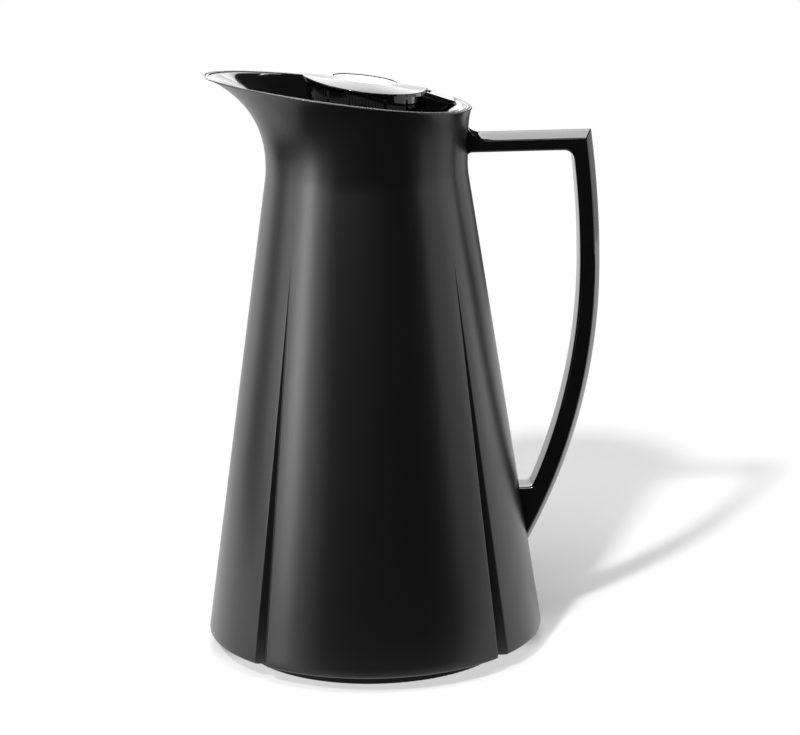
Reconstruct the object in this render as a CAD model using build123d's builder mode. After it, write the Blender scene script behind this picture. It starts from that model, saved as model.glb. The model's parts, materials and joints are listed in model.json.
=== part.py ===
# Thermal jug: a conical plastic shell over a double-walled glass flask, with a pouring lip, a faceted
# handle and a screw-in stopper whose push button opens a valve. Millimetres, +Z up. The origin is the
# centre of the flat underside. The spout points along -X and the handle along +X.
import os
from math import atan2, cos, degrees, hypot, radians, sin, sqrt, tan

from build123d import *

os.makedirs("parts", exist_ok=True)

# Jug body: a straight cone above a recessed foot
foot_height = 8.5
foot_inset_width = 16.2
body_radius = 82.5
body_height = 227.5
body_wall = 2.5
body_edge_radius = 1.5
waist_radius = 48.4
waist_blend_radius = 45.0
waist_band_height = 5.0

# Rim and spout, measured from the waist and from the foot of the flare
rim_flare_width = 2.3
rim_rise_height = 25.1
spout_length = 28.6
spout_rise_height = 17.9
spout_pull_height = 28.8
rear_pull_height = 21.0
shell_lip_width = 1.3
shell_lift_height = 1.7
flare_steps = 7

# Four grooves that open towards the foot
groove_drop_height = 36.0
groove_depth = 3.75
groove_angles = (45, 135, 225, 315)
groove_bar_width = 9.0

# Handle, measured from the flare, from the widest part of the body and from its own lower end
handle_width = 16.0
handle_rise_height = 12.7
handle_bar_depth = 9.1
handle_overhang_width = 29.7
handle_drop_height = 66.0
handle_upper_radius = 520.0
handle_end_height = 46.0
handle_end_inset = 2.1
grip_depth = 10.4
grip_drop_height = 62.0
grip_upper_radius = 440.0
notch_rise_height = 32.0
notch_ledge_width = 6.1
notch_radius = 3.0
grip_corner_radius = 5.0
grip_edge_radius = 1.5
facet_depth = 3.8
upper_flare_radius = 7.0
lower_flare_radius = 3.0
handle_seat_gap = 0.05

# Tenons that carry the handle through the shell, and their screws
tenon_width = 8.0
upper_tenon_height = 6.0
lower_tenon_height = 12.0
lower_tenon_rise_height = 20.0
tenon_gap = 0.15
tenon_overlap_length = 6.0
handle_screw_radius = 1.5
handle_screw_length = 10.0
handle_screw_head_radius = 4.4
handle_screw_head_depth = 1.6
screw_hole_gap = 0.05

# Pouring collar: the bowl inside the rim, with the stopper's bore in its floor
deck_rise_height = 9.0
deck_thickness = 2.5
collar_inset_width = 6.9
collar_wall = 2.0
collar_lip_width = 1.2
collar_lift_height = 2.4
bowl_lift_height = 3.4
collar_lean_width = 3.0
bowl_lean_width = 4.0
seam_gap = 0.15
bore_radius = 25.0
bore_depth = 17.0
bore_wall = 3.0
seat_width = 4.5
seat_thickness = 2.0

# Glass flask
glass_wall = 1.5
flask_gap = 5.0
flask_floor_height = 18.0
flask_shoulder_rise_height = 40.0
flask_neck_length = 26.0
flask_floor_radius = 32.0
flask_shoulder_radius = 25.0
flask_neck_blend_radius = 10.0
vacuum_gap = 3.5
neck_gap = 1.5
shoulder_gap = 4.0
flask_tip_radius = 3.5
flask_tip_length = 5.0
flask_tip_taper = 25.0
pad_height = 60.0
pad_length = 8.0
pad_width = 9.0
pad_count = 3
pad_clearance = 0.1

# Seals round the flask
neck_gasket_thickness = 2.0
neck_gasket_skirt_height = 8.0
neck_gasket_wall = 2.2
gasket_gap = 0.2
cushion_radius = 34.0
cushion_bore_radius = 10.0
cushion_rise_height = 4.0

# Base plate, its screws and its non-slip ring
floor_thickness = 3.5
foot_wall = 3.0
flange_thickness = 3.0
flange_gap = 0.3
rib_gap = 0.5
cup_wall = 2.5
cup_height = 14.0
cup_gap = 0.3
foot_edge_radius = 1.0
foot_ring_inset_width = 3.4
foot_ring_width = 5.0
foot_ring_depth = 2.0
foot_ring_gap = 0.1
boss_inset_width = 11.5
boss_radius = 4.0
boss_height = 18.0
boss_web_thickness = 2.0
boss_web_length = 16.0
boss_count = 4
base_screw_radius = 1.5
base_screw_length = 15.0
base_screw_head_radius = 3.2
base_screw_head_depth = 2.0

# Stopper body
plug_gap = 0.3
seat_gap = 0.3
stopper_gasket_thickness = 2.0
nose_gap = 2.2
nose_wall = 2.0
nose_length = 18.0
neck_clearance = 1.2
valve_seat_width = 6.3
stopper_wall = 2.0
drum_overhang_width = 2.5
drum_height = 27.0
drum_floor_thickness = 2.0
window_width = 9.0
window_count = 6
window_cut_depth = 4.0
window_clearance = 1.0
spring_deck_thickness = 2.0
guide_wall = 2.9
guide_below_length = 5.0
guide_above_length = 5.0

# Lid cap with its thumb tab
cap_overhang_width = 2.2
cap_thickness = 3.3
cap_edge_thickness = 0.8
cap_shoulder_width = 9.0
tab_overhang_length = 13.3
tab_width = 20.0
tab_bend_length = 15.5
tab_dip_height = 5.0
tab_undercut_length = 4.8
tab_end_height = 4.6
tab_depth = 12.0
tab_corner_radius = 4.0
tab_drum_gap = 0.3
spigot_wall = 2.0
spigot_depth = 6.0
sleeve_wall = 1.8
sleeve_depth = 13.0

# Push button, its plate and its valve
button_radius = 14.9
button_gap = 0.3
button_sink_depth = 0.3
button_crown_depth = 7.0
button_skirt_wall = 2.0
button_skirt_depth = 8.0
button_boss_radius = 5.0
button_boss_depth = 3.3
plate_inset_width = 1.6
plate_thickness = 0.8
plate_gap = 0.05
cut_margin = 1.0
stem_radius = 3.0
stem_gap = 0.06
stem_grip_length = 3.0
stem_fit_gap = 0.03
valve_overlap_width = 3.0
valve_thickness = 2.0
valve_seal_thickness = 1.2
valve_seal_width = 5.0
valve_seal_gap = 0.3
clip_radius = 6.0
clip_thickness = 1.4
stem_tail_length = 0.8
stem_seal_radius = 5.0
stem_seal_thickness = 1.2
drum_seal_thickness = 1.0
drum_seal_gap = 0.3
spring_radius = 8.2
spring_wire_radius = 0.55
spring_turns = 5
spring_space_height = 13.0
spring_gap = 0.3

# Heights that follow, from the foot up
waist_height = foot_height + body_height
flare_height = waist_height + waist_band_height
rim_rear_height = flare_height + rim_rise_height
groove_top_height = waist_height - groove_drop_height
handle_top_height = flare_height + handle_rise_height
handle_reach_height = handle_top_height - handle_drop_height
grip_reach_height = handle_top_height - grip_drop_height
notch_height = handle_end_height + notch_rise_height
lower_tenon_centre = handle_end_height + lower_tenon_rise_height
deck_height = flare_height + deck_rise_height
bore_bottom = deck_height - bore_depth
seat_top = bore_bottom + seat_thickness
flask_top_height = bore_bottom - neck_gasket_thickness
flask_neck_height = flask_top_height - flask_neck_length
flask_shoulder_height = flask_neck_height - flask_shoulder_rise_height
cushion_top_height = flask_floor_height + cushion_rise_height
plug_bottom = seat_top + seat_gap + stopper_gasket_thickness + seat_gap
nose_end_height = flask_top_height - nose_length
drum_bottom = deck_height + drum_seal_gap + drum_seal_thickness
cap_height = deck_height + drum_height
cap_top = cap_height + cap_thickness
button_top = cap_top - button_sink_depth
button_seat_height = button_top - button_crown_depth
stem_top_height = button_seat_height + stem_grip_length
deck_top = button_seat_height - spring_space_height
spring_deck_height = deck_top - spring_deck_thickness

# Widths that follow, from the axis out
body_taper = (body_radius - waist_radius) / body_height
wall_offset = body_wall * sqrt(1 + body_taper**2)
foot_radius = body_radius - foot_inset_width
foot_ring_radius = foot_radius - foot_ring_inset_width
boss_circle_radius = body_radius - boss_inset_width
rim_radius = waist_radius + rim_flare_width
spout_radius = waist_radius + spout_length
rim_slope = spout_rise_height / (spout_radius + rim_radius)
handle_reach = body_radius + handle_overhang_width
grip_reach = handle_reach - grip_depth
collar_radius = waist_radius - collar_inset_width
seat_radius = bore_radius - seat_width
plug_radius = bore_radius - plug_gap
nose_radius = seat_radius - nose_gap
valve_opening_radius = nose_radius - valve_seat_width
valve_radius = valve_opening_radius + valve_overlap_width
flask_neck_radius = nose_radius + neck_clearance + glass_wall + neck_gap + glass_wall
shoulder_cone_radius = body_radius - body_taper * (flask_shoulder_height - foot_height)
flask_radius = shoulder_cone_radius - wall_offset - flask_gap
drum_radius = bore_radius + drum_overhang_width
cap_radius = drum_radius + cap_overhang_width
tab_tip_radius = cap_radius + tab_overhang_length
guide_radius = stem_radius + stem_gap


def cone_radius(height):
    return body_radius - body_taper * (height - foot_height)


def rim_height(x):
    return rim_rear_height + rim_slope * (rim_radius - x)


def curve(start, pull, end, step):
    return start * (1 - step) ** 2 + 2 * pull * step * (1 - step) + end * step**2


def vertex_near(x, y):
    """The corner of the sketch in hand that lies nearest to a point"""
    return vertices().sort_by_distance((x, y))[0]


def tilted_plane(height, tilt):
    """Plane that crosses the jug's axis at a height and falls towards the handle"""
    return Plane(origin=(0, 0, height), x_dir=(cos(tilt), 0, -sin(tilt)), z_dir=(sin(tilt), 0, cos(tilt)))


def slant_plane(height):
    """Plane parallel to the rim that crosses the jug's axis at a height"""
    return tilted_plane(height, atan2(rim_slope, 1))


def flare(height, radius, inset, lift, lean):
    """Solid from a level circle up to the slanted, egg-shaped rim"""
    front_end = spout_radius - inset
    rear_end = rim_radius - inset
    front_pull = flare_height + spout_pull_height + lift
    rear_pull = flare_height + rear_pull_height + lift
    with BuildPart() as solid:
        for index in range(flare_steps):
            step = index / (flare_steps - 1)
            front = curve(radius, radius + lean, front_end, step)
            side = curve(radius, radius + lean, rear_end, step)
            rear = curve(radius, radius + lean, rear_end, step)
            front_height = curve(height, front_pull, rim_height(-front_end), step)
            rear_height = curve(height, rear_pull, rim_height(rear_end), step)
            tilt = atan2(front_height - rear_height, front + rear)
            middle = rear_height + rear * tan(tilt)
            with BuildSketch(tilted_plane(middle, tilt)):
                with BuildLine():
                    EllipticalCenterArc((0, 0), rear / cos(tilt), side, start_angle=-90, arc_size=180)
                    EllipticalCenterArc((0, 0), front / cos(tilt), side, start_angle=90, arc_size=180)
                make_face()
        loft()
    return solid.part


def cone(inset, edge_radius):
    """Solid of the cone below the flare, taken in from its outer face by an inset"""
    with BuildPart() as solid:
        with BuildSketch(Plane.XZ):
            with BuildLine():
                Polyline(
                    (0, foot_height),
                    (cone_radius(foot_height) - inset, foot_height),
                    (waist_radius - inset, waist_height),
                    (waist_radius - inset, flare_height),
                    (0, flare_height),
                    close=True,
                )
            make_face()
            corners = vertices().sort_by(Axis.X)
            fillet(vertices().group_by(Axis.Y)[1], radius=waist_blend_radius)
            if edge_radius:
                fillet(corners[-1], radius=edge_radius)
        revolve(axis=Axis.Z)
    return solid.part


def groove_bars(root_inset):
    """Square bars whose inner edges run along the groove roots, taken in by an inset"""
    top_radius = cone_radius(groove_top_height)
    bottom_radius = body_radius - groove_depth
    length = hypot(bottom_radius - top_radius, groove_top_height - foot_height)
    out = (bottom_radius - top_radius) / length
    down = (groove_top_height - foot_height) / length
    half = groove_bar_width
    with BuildPart() as bars:
        for angle in groove_angles:
            across = cos(radians(angle))
            along = sin(radians(angle))
            root = Plane(
                origin=(top_radius * across, top_radius * along, groove_top_height),
                x_dir=(-along, across, 0),
                z_dir=(out * across, out * along, -down),
            )
            with BuildSketch(root):
                with Locations((0, half - root_inset)):
                    Rectangle(half * sqrt(2), half * sqrt(2), rotation=45)
            extrude(amount=length + foot_height)
    return bars.part


def ring(inner, outer, low, high):
    with BuildPart() as solid:
        with BuildSketch(Plane.XY.offset(low)):
            Circle(outer)
            if inner:
                Circle(inner, mode=Mode.SUBTRACT)
        extrude(amount=high - low)
    return solid.part


def jar(radius, floor, shoulder, neck, neck_base, top, corner_radius, inset):
    """Solid of a bottle, taken in from its outer face by an inset"""
    turn = atan2(radius - neck, neck_base - shoulder)
    drop = inset * tan(turn / 2)
    with BuildPart() as solid:
        with BuildSketch(Plane.XZ):
            with BuildLine():
                Polyline(
                    (0, floor + inset),
                    (radius - inset, floor + inset),
                    (radius - inset, shoulder - drop),
                    (neck - inset, neck_base - drop),
                    (neck - inset, top),
                    (0, top),
                    close=True,
                )
            make_face()
            outer = vertices().sort_by(Axis.X)[-2:].sort_by(Axis.Y)
            throat = vertices().sort_by(Axis.Y)[-3]
            fillet(outer[0], radius=corner_radius - inset)
            fillet(outer[1], radius=flask_shoulder_radius - inset)
            fillet(throat, radius=flask_neck_blend_radius + inset)
        revolve(axis=Axis.Z)
    return solid.part


# Solids of the whole body, used to cut the pieces that meet it
envelope_cone = cone(0, body_edge_radius)
envelope_flare = flare(flare_height, waist_radius, 0, 0, 0)
cavity_cone = cone(wall_offset, 0)
cavity_flare = flare(flare_height, waist_radius - wall_offset, shell_lip_width, shell_lift_height, 0)

# Outer shell: the grooved cone with its lip, screw bosses and handle holes
boss_low = foot_height + flange_thickness
with BuildPart() as bosses:
    with BuildSketch(Plane.XY.offset(boss_low)):
        with PolarLocations(boss_circle_radius, boss_count):
            Circle(boss_radius)
        with PolarLocations(boss_circle_radius + boss_web_length / 2, boss_count):
            Rectangle(boss_web_length, boss_web_thickness)
    extrude(amount=boss_height)

with BuildPart() as cavity:
    add(cavity_cone)
    add(cavity_flare)
    add(groove_bars(body_wall), mode=Mode.SUBTRACT)
    add(bosses.part, mode=Mode.SUBTRACT)

upper_tenon_centre = handle_top_height - handle_bar_depth / 2
upper_wall_radius = waist_radius - wall_offset
upper_head_face = sqrt(upper_wall_radius**2 - handle_screw_head_radius**2) - seam_gap
lower_wall_radius = cone_radius(lower_tenon_centre + handle_screw_head_radius) - wall_offset
lower_head_face = sqrt(lower_wall_radius**2 - handle_screw_head_radius**2) - seam_gap
upper_tenon_end = waist_radius + tenon_overlap_length
lower_tenon_end = cone_radius(lower_tenon_centre) + tenon_overlap_length
tenons = (
    (upper_tenon_centre, upper_tenon_height, upper_head_face, upper_tenon_end),
    (lower_tenon_centre, lower_tenon_height, lower_head_face, lower_tenon_end),
)

with BuildPart() as outer_shell:
    add(envelope_cone)
    add(envelope_flare)
    add(groove_bars(0), mode=Mode.SUBTRACT)
    add(cavity.part, mode=Mode.SUBTRACT)
    for centre, height, face, end in tenons:
        with BuildSketch(Plane.YZ.offset(face)):
            with Locations((0, centre)):
                Rectangle(tenon_width + 2 * tenon_gap, height + 2 * tenon_gap)
        extrude(amount=end - face, mode=Mode.SUBTRACT)
    with BuildSketch(Plane.XY.offset(boss_low)):
        with PolarLocations(boss_circle_radius, boss_count):
            Circle(base_screw_radius + screw_hole_gap)
    extrude(amount=base_screw_length, mode=Mode.SUBTRACT)
outer_shell.part.label = "outer_shell"
export_step(outer_shell.part, "parts/outer_shell.step")

# Handle: a bent bar whose outer side has two facets that meet along its middle
bar_low = handle_top_height - handle_bar_depth
upper_centre = (handle_reach - handle_upper_radius, handle_reach_height)
grip_upper_centre = (grip_reach - grip_upper_radius, grip_reach_height)


def on_arc(centre, radius, height):
    return (centre[0] + sqrt(radius**2 - (height - centre[1]) ** 2), height)


def upright_arc_radius(start, end):
    """Radius of the arc that leaves its start upright and reaches its end"""
    return ((start[0] - end[0]) ** 2 + (start[1] - end[1]) ** 2) / (2 * (start[0] - end[0]))


widest = (handle_reach, handle_reach_height)
grip_widest = (grip_reach, grip_reach_height)
corner = on_arc(upper_centre, handle_upper_radius, handle_top_height)
inner_corner = on_arc(grip_upper_centre, grip_upper_radius, bar_low)
outer_end = (cone_radius(handle_end_height) - handle_end_inset, handle_end_height)
inner_end = (cone_radius(notch_height) + notch_ledge_width, notch_height)
hidden_end = waist_radius / 2
upper_root = waist_radius + seam_gap
lower_root = waist_radius - seam_gap


def handle_outer_edge():
    """The outer outline of the handle, from the rim down to the foot of the grip"""
    Polyline(
        (hidden_end, handle_top_height + upper_flare_radius),
        (upper_root, handle_top_height + upper_flare_radius),
        (upper_root, handle_top_height),
        corner,
    )
    RadiusArc(corner, widest, handle_upper_radius)
    RadiusArc(widest, outer_end, upright_arc_radius(widest, outer_end))


with BuildPart() as handle_side:
    with BuildSketch(Plane.XZ.offset(-handle_width / 2)):
        with BuildLine():
            handle_outer_edge()
            Polyline(outer_end, (hidden_end, handle_end_height), (hidden_end, notch_height), inner_end)
            RadiusArc(inner_end, grip_widest, -upright_arc_radius(grip_widest, inner_end))
            RadiusArc(grip_widest, inner_corner, -grip_upper_radius)
            Polyline(
                inner_corner,
                (lower_root, bar_low),
                (lower_root, bar_low - lower_flare_radius),
                (hidden_end, bar_low - lower_flare_radius),
                (hidden_end, handle_top_height + upper_flare_radius),
            )
        make_face()
        fillet(vertex_near(*inner_corner), radius=grip_corner_radius)
        fillet(vertex_near(*inner_end), radius=notch_radius)
        fillet(vertex_near(lower_root, bar_low), radius=lower_flare_radius)
        fillet(vertex_near(upper_root, handle_top_height), radius=upper_flare_radius)
    extrude(amount=handle_width)
    for side in (-handle_width / 2, handle_width / 2):
        side_edges = edges().filter_by(Axis.Y, reverse=True)
        grip_edge = side_edges.sort_by_distance((grip_reach, side, grip_reach_height))[0]
        fillet(grip_edge, radius=grip_edge_radius)

with BuildPart() as handle_roof:
    with BuildSketch(Plane.XZ):
        with BuildLine():
            handle_outer_edge()
            Polyline(
                outer_end,
                (hidden_end, handle_end_height),
                (hidden_end, handle_top_height + upper_flare_radius),
            )
        make_face()
        fillet(vertex_near(upper_root, handle_top_height), radius=upper_flare_radius)
    extrude(amount=handle_width / 2, both=True, taper=degrees(atan2(facet_depth, handle_width / 2)))

with BuildPart() as handle:
    add(handle_side.part)
    add(handle_roof.part, mode=Mode.INTERSECT)
    add(cone(-handle_seat_gap, 0), mode=Mode.SUBTRACT)
    add(flare(flare_height, waist_radius + handle_seat_gap, -handle_seat_gap, 0, 0), mode=Mode.SUBTRACT)
    for centre, height, face, end in tenons:
        with BuildSketch(Plane.YZ.offset(face)):
            with Locations((0, centre)):
                Rectangle(tenon_width, height)
        extrude(amount=end - face)
        with BuildSketch(Plane.YZ.offset(face)):
            with Locations((0, centre)):
                Circle(handle_screw_radius + screw_hole_gap)
        extrude(amount=handle_screw_length + screw_hole_gap, mode=Mode.SUBTRACT)
handle.part.label = "handle"
export_step(handle.part, "parts/handle.step")

with BuildPart() as handle_screws:
    for centre, height, face, end in tenons:
        with BuildSketch(Plane.YZ.offset(face)):
            with Locations((0, centre)):
                Circle(handle_screw_head_radius)
        extrude(amount=-handle_screw_head_depth)
        with BuildSketch(Plane.YZ.offset(face)):
            with Locations((0, centre)):
                Circle(handle_screw_radius)
        extrude(amount=handle_screw_length)
handle_screws.part.label = "handle_screws"
export_step(handle_screws.part, "parts/handle_screws.step")

# Pouring collar: the bowl, its floor and the stopper's bore with the seat at its foot
collar_foot = deck_height - deck_thickness
collar_inset = shell_lip_width + seam_gap
bowl_inset = collar_inset + collar_lip_width
with BuildPart() as pouring_collar:
    add(flare(collar_foot, collar_radius, collar_inset, collar_lift_height, collar_lean_width))
    bowl = flare(deck_height, collar_radius - collar_wall, bowl_inset, bowl_lift_height, bowl_lean_width)
    add(bowl, mode=Mode.SUBTRACT)
    add(ring(0, bore_radius + bore_wall, bore_bottom, deck_height))
    add(ring(0, bore_radius, seat_top, deck_height), mode=Mode.SUBTRACT)
    add(ring(0, seat_radius, bore_bottom, seat_top), mode=Mode.SUBTRACT)
pouring_collar.part.label = "pouring_collar"
export_step(pouring_collar.part, "parts/pouring_collar.step")

# Glass flask: two bottles joined at the mouth, with the vacuum between them
outer_glass = (
    flask_radius,
    flask_floor_height,
    flask_shoulder_height,
    flask_neck_radius,
    flask_neck_height,
    flask_top_height - glass_wall,
    flask_floor_radius,
)
wall_and_vacuum = glass_wall + vacuum_gap
inner_radius = flask_radius - wall_and_vacuum
inner_neck = flask_neck_radius - glass_wall - neck_gap
inner_shoulder = flask_shoulder_height - shoulder_gap
shoulder_slope = (flask_neck_height - flask_shoulder_height) / (flask_radius - flask_neck_radius)
inner_glass = (
    inner_radius,
    flask_floor_height + wall_and_vacuum,
    inner_shoulder,
    inner_neck,
    inner_shoulder + shoulder_slope * (inner_radius - inner_neck),
    flask_top_height,
    flask_floor_radius - wall_and_vacuum,
)

with BuildPart() as flask_outer_glass:
    add(jar(*outer_glass, 0))
    add(jar(*outer_glass, glass_wall), mode=Mode.SUBTRACT)
    with BuildSketch(Plane.XY.offset(flask_floor_height)):
        Circle(flask_tip_radius)
    extrude(amount=-flask_tip_length, taper=flask_tip_taper)
flask_outer_glass.part.label = "flask_outer_glass"
export_step(flask_outer_glass.part, "parts/flask_outer_glass.step")

with BuildPart() as flask_inner_glass:
    add(jar(*inner_glass, 0))
    add(ring(0, flask_neck_radius, flask_top_height - glass_wall, flask_top_height))
    add(jar(*inner_glass, glass_wall), mode=Mode.SUBTRACT)
flask_inner_glass.part.label = "flask_inner_glass"
export_step(flask_inner_glass.part, "parts/flask_inner_glass.step")

with BuildPart() as flask_spacer_pads:
    with BuildSketch(Plane.XY.offset(pad_height)):
        with PolarLocations(inner_radius + vacuum_gap / 2, pad_count):
            Rectangle(vacuum_gap * 2, pad_width)
        Circle(inner_radius + vacuum_gap - pad_clearance, mode=Mode.INTERSECT)
        Circle(inner_radius + pad_clearance, mode=Mode.SUBTRACT)
    extrude(amount=pad_length)
flask_spacer_pads.part.label = "flask_spacer_pads"
export_step(flask_spacer_pads.part, "parts/flask_spacer_pads.step")

# Neck gasket: a silicone cap over the flask's mouth that the collar presses on
gasket_bore = flask_neck_radius + gasket_gap
with BuildPart() as neck_gasket:
    add(ring(seat_radius, gasket_bore + neck_gasket_wall, flask_top_height, bore_bottom))
    skirt_end = flask_top_height - neck_gasket_skirt_height
    add(ring(gasket_bore, gasket_bore + neck_gasket_wall, skirt_end, flask_top_height))
neck_gasket.part.label = "neck_gasket"
export_step(neck_gasket.part, "parts/neck_gasket.step")

# Cushion: a rubber ring shaped to the flask's rounded end
with BuildPart() as flask_cushion:
    add(ring(cushion_bore_radius, cushion_radius, floor_thickness, cushion_top_height))
    add(jar(*outer_glass, -gasket_gap), mode=Mode.SUBTRACT)
flask_cushion.part.label = "flask_cushion"
export_step(flask_cushion.part, "parts/flask_cushion.step")

# Base plate: the foot, its flange notched round the grooves, and the cushion's cup
flange_radius = cone_radius(foot_height + flange_thickness) - wall_offset - flange_gap
cup_radius = cushion_radius + cup_gap
with BuildPart() as base_plate:
    with BuildSketch(Plane.XZ):
        with BuildLine():
            Polyline(
                (0, 0),
                (foot_radius, 0),
                (foot_radius, foot_height),
                (flange_radius, foot_height),
                (flange_radius, foot_height + flange_thickness),
                (foot_radius - foot_wall, foot_height + flange_thickness),
                (foot_radius - foot_wall, floor_thickness),
                (cup_radius + cup_wall, floor_thickness),
                (cup_radius + cup_wall, cup_height),
                (cup_radius, cup_height),
                (cup_radius, floor_thickness),
                (0, floor_thickness),
                close=True,
            )
        make_face()
        fillet(vertex_near(foot_radius, 0), radius=foot_edge_radius)
    revolve(axis=Axis.Z)
    add(groove_bars(body_wall + rib_gap), mode=Mode.SUBTRACT)
    add(
        ring(
            foot_ring_radius - foot_ring_width - foot_ring_gap,
            foot_ring_radius + foot_ring_gap,
            0,
            foot_ring_depth + foot_ring_gap,
        ),
        mode=Mode.SUBTRACT,
    )
    with BuildSketch(Plane.XY.offset(foot_height)):
        with PolarLocations(boss_circle_radius, boss_count):
            Circle(base_screw_radius + screw_hole_gap)
    extrude(amount=flange_thickness, mode=Mode.SUBTRACT)
base_plate.part.label = "base_plate"
export_step(base_plate.part, "parts/base_plate.step")

with BuildPart() as base_screws:
    with BuildSketch(Plane.XY.offset(foot_height)):
        with PolarLocations(boss_circle_radius, boss_count):
            Circle(base_screw_head_radius)
    extrude(amount=-base_screw_head_depth)
    with BuildSketch(Plane.XY.offset(foot_height)):
        with PolarLocations(boss_circle_radius, boss_count):
            Circle(base_screw_radius)
    extrude(amount=base_screw_length)
base_screws.part.label = "base_screws"
export_step(base_screws.part, "parts/base_screws.step")

with BuildPart() as foot_ring:
    add(ring(foot_ring_radius - foot_ring_width, foot_ring_radius, 0, foot_ring_depth))
foot_ring.part.label = "foot_ring"
export_step(foot_ring.part, "parts/foot_ring.step")

# Stopper body: nose with the valve opening, plug, drum with pouring windows, and the stem's guide
drum_floor_top = drum_bottom + drum_floor_thickness
drum_bore = drum_radius - stopper_wall
plug_bore = plug_radius - stopper_wall
nose_bore = nose_radius - nose_wall
guide_top = deck_top + guide_above_length
guide_outer = guide_radius + guide_wall
seal_recess = stem_seal_thickness + plate_gap
with BuildPart() as stopper_body:
    with BuildSketch(Plane.XZ):
        with BuildLine():
            Polyline(
                (valve_opening_radius, nose_end_height),
                (nose_radius, nose_end_height),
                (nose_radius, plug_bottom),
                (plug_radius, plug_bottom),
                (plug_radius, drum_bottom),
                (drum_radius, drum_bottom),
                (drum_radius, cap_height + cap_radius),
                (drum_bore, cap_height + cap_radius),
                (drum_bore, deck_top),
                (guide_outer, deck_top),
                (guide_outer, guide_top),
                (stem_seal_radius, guide_top),
                (stem_seal_radius, guide_top - seal_recess),
                (guide_radius, guide_top - seal_recess),
                (guide_radius, spring_deck_height - guide_below_length),
                (guide_outer, spring_deck_height - guide_below_length),
                (guide_outer, spring_deck_height),
                (drum_bore, spring_deck_height),
                (drum_bore, drum_floor_top),
                (plug_bore, drum_floor_top),
                (plug_bore, plug_bottom + nose_wall),
                (nose_bore, plug_bottom + nose_wall),
                (nose_bore, nose_end_height + nose_wall),
                (valve_opening_radius, nose_end_height + nose_wall),
                close=True,
            )
        make_face()
    revolve(axis=Axis.Z)
    split(bisect_by=slant_plane(cap_height), keep=Keep.BOTTOM)
    with BuildSketch(Plane.XY.offset(drum_floor_top)):
        with PolarLocations(drum_radius, window_count):
            Rectangle(2 * window_cut_depth, window_width)
        Circle(drum_bore - window_clearance, mode=Mode.SUBTRACT)
    extrude(amount=spring_deck_height - drum_floor_top, mode=Mode.SUBTRACT)
stopper_body.part.label = "stopper_body"
export_step(stopper_body.part, "parts/stopper_body.step")

with BuildPart() as stem_seal:
    add(ring(guide_radius, stem_seal_radius - plate_gap, guide_top - seal_recess, guide_top - plate_gap))
stem_seal.part.label = "stem_seal"
export_step(stem_seal.part, "parts/stem_seal.step")

drum_seal_low = drum_bottom - drum_seal_thickness
with BuildPart() as drum_seal:
    add(ring(plug_radius + plate_gap, drum_radius - plug_gap, drum_seal_low, drum_bottom))
drum_seal.part.label = "drum_seal"
export_step(drum_seal.part, "parts/drum_seal.step")

with BuildPart() as stopper_gasket:
    add(ring(nose_radius + plug_gap, plug_radius, seat_top + seat_gap, plug_bottom - seat_gap))
stopper_gasket.part.label = "stopper_gasket"
export_step(stopper_gasket.part, "parts/stopper_gasket.step")


# Lid cap: a slanted disc with a rounded shoulder, a thumb tab that dips towards its tip, a spigot inside
# the drum and a sleeve round the button
def slanted(low, high, draw):
    """Solid with upright sides between two planes parallel to the rim"""
    with BuildPart() as solid:
        with BuildSketch(Plane.XY.offset(low - cap_radius)):
            draw()
        extrude(amount=high - low + 2 * cap_radius)
        split(bisect_by=slant_plane(high), keep=Keep.BOTTOM)
        split(bisect_by=slant_plane(low), keep=Keep.TOP)
    return solid.part


def cap_level(x):
    return cap_top - rim_slope * x


def drum_clearance_outline():
    Circle(drum_radius + tab_drum_gap)


def spigot_outline():
    Circle(drum_bore - plug_gap)
    Circle(drum_bore - plug_gap - spigot_wall, mode=Mode.SUBTRACT)


def sleeve_outline():
    Circle(button_bore + sleeve_wall)
    Circle(button_bore, mode=Mode.SUBTRACT)


lid_tilt = atan2(rim_slope, 1)
cap_rise = cap_thickness * cos(lid_tilt)
cap_section = Plane(origin=(0, 0, cap_height), x_dir=(cos(lid_tilt), 0, -sin(lid_tilt)), z_dir=(0, -1, 0))
shoulder_start = (cap_radius - cap_shoulder_width, cap_rise)
with BuildPart() as cap_disc:
    with BuildSketch(cap_section):
        with BuildLine():
            Polyline((0, 0), (0, cap_rise), shoulder_start)
            TangentArc(shoulder_start, (cap_radius, cap_edge_thickness), tangent=(1, 0))
            Polyline((cap_radius, cap_edge_thickness), (cap_radius, 0), (0, 0))
        make_face()
    revolve(axis=Axis((0, 0, cap_height), (sin(lid_tilt), 0, cos(lid_tilt))))

tab_bend_radius = tab_tip_radius - tab_bend_length
tab_bend = (tab_bend_radius, cap_level(tab_bend_radius))
tab_tip = (tab_tip_radius, cap_level(tab_tip_radius) - tab_dip_height)
tab_heel_radius = tab_tip_radius - tab_undercut_length
tab_heel_height = tab_tip[1] - tab_end_height
tab_foot_height = cap_height - tab_depth - rim_slope * tab_heel_radius
with BuildPart() as thumb_tab:
    with BuildSketch(Plane.XZ.offset(-tab_width / 2)):
        with BuildLine():
            TangentArc(tab_bend, tab_tip, tangent=(1, -rim_slope))
            Polyline(
                tab_tip,
                (tab_heel_radius, tab_heel_height),
                (tab_heel_radius, tab_foot_height),
                (tab_bend_radius, tab_foot_height),
                tab_bend,
            )
        make_face()
    extrude(amount=tab_width)
    with BuildSketch(Plane.XY.offset(tab_foot_height)):
        with Locations((tab_tip_radius / 2, 0)):
            RectangleRounded(tab_tip_radius, tab_width, tab_corner_radius)
    extrude(amount=cap_top - tab_foot_height, mode=Mode.INTERSECT)
    add(slanted(tab_foot_height - cap_radius, cap_height, drum_clearance_outline), mode=Mode.SUBTRACT)

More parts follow.
